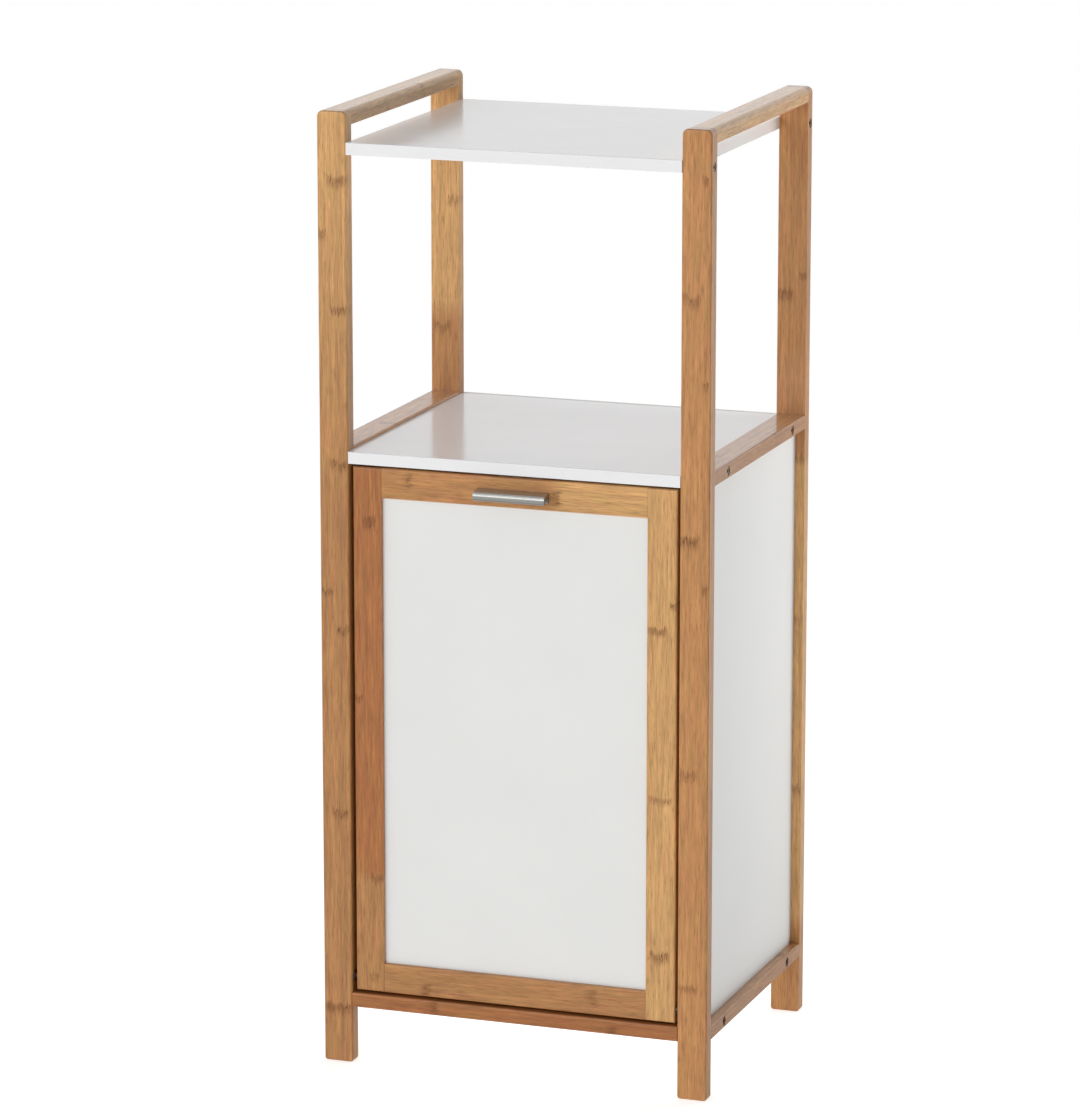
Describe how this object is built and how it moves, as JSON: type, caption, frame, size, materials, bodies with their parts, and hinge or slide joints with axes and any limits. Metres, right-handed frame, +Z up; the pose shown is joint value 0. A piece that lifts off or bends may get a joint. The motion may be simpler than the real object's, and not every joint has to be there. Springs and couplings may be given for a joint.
{
  "type": "bathroom cabinet",
  "caption": "Free-standing bamboo cabinet with white shelves, an open bay above and a bottom-hinged tilt-out laundry door with a hanging bag.",
  "frame": {"origin": "on the floor, in the middle of the whole footprint, door pull included", "axes": "+X to the right seen from the front, +Y to the back, +Z up"},
  "size_m": [0.4, 0.337, 0.955],
  "materials": {
    "bamboo": "edge-laminated bamboo strips, clear satin lacquer",
    "white_board": "fibreboard with white semi-gloss lacquer",
    "dowel_beech": "plain beech dowels",
    "zinc_steel": "zinc-plated steel",
    "bronzed_steel": "bronze-plated steel",
    "pull_aluminium": "extruded aluminium, satin anodised",
    "white_nylon": "moulded nylon",
    "brown_nylon": "moulded nylon",
    "ferrite": "sintered ferrite magnet",
    "frame_enamel": "powder-coated steel wire",
    "bag_cloth": "unbleached cotton canvas"
  },
  "bodies": {
    "cabinet": {"back_panel": "white_board", "back_panel_screws": "zinc_steel", "base_board": "white_board", "base_screws": "zinc_steel", "catch_housing": "white_nylon", "catch_magnet": "ferrite", "catch_screws": "zinc_steel", "door_stop_batten": "bamboo", "front_lower_rail": "bamboo", "front_rail_dowels": "dowel_beech", "left_frame_dowels": "dowel_beech", "left_front_leg": "bamboo", "left_lower_rail": "bamboo", "left_middle_rail": "bamboo", "left_rear_leg": "bamboo", "left_side_panel": "white_board", "left_top_rail": "bamboo", "middle_shelf": "white_board", "middle_shelf_screws": "zinc_steel", "pivot_bushes": "brown_nylon", "right_frame_dowels": "dowel_beech", "right_front_leg": "bamboo", "right_lower_rail": "bamboo", "right_middle_rail": "bamboo", "right_rear_leg": "bamboo", "right_side_panel": "white_board", "right_top_rail": "bamboo", "top_shelf": "white_board", "top_shelf_screws": "zinc_steel"},
    "door": {"door_left_stile": "bamboo", "door_right_stile": "bamboo", "door_bottom_rail": "bamboo", "door_top_rail": "bamboo", "door_panel": "white_board", "door_dowels": "dowel_beech", "door_pull": "pull_aluminium", "pull_screws": "zinc_steel", "pivot_pins": "bronzed_steel", "strike_plate": "zinc_steel", "strike_screw": "zinc_steel", "bag_frame": "frame_enamel", "bag_frame_screws": "zinc_steel", "laundry_bag": "bag_cloth"}
  },
  "joints": [
    {"name": "door_tilt", "type": "hinge", "parent": "cabinet", "child": "door", "pos_m": [0, -0.148, 0.0885], "axis": [1, 0, 0], "range_deg": [0, 28]}
  ]
}
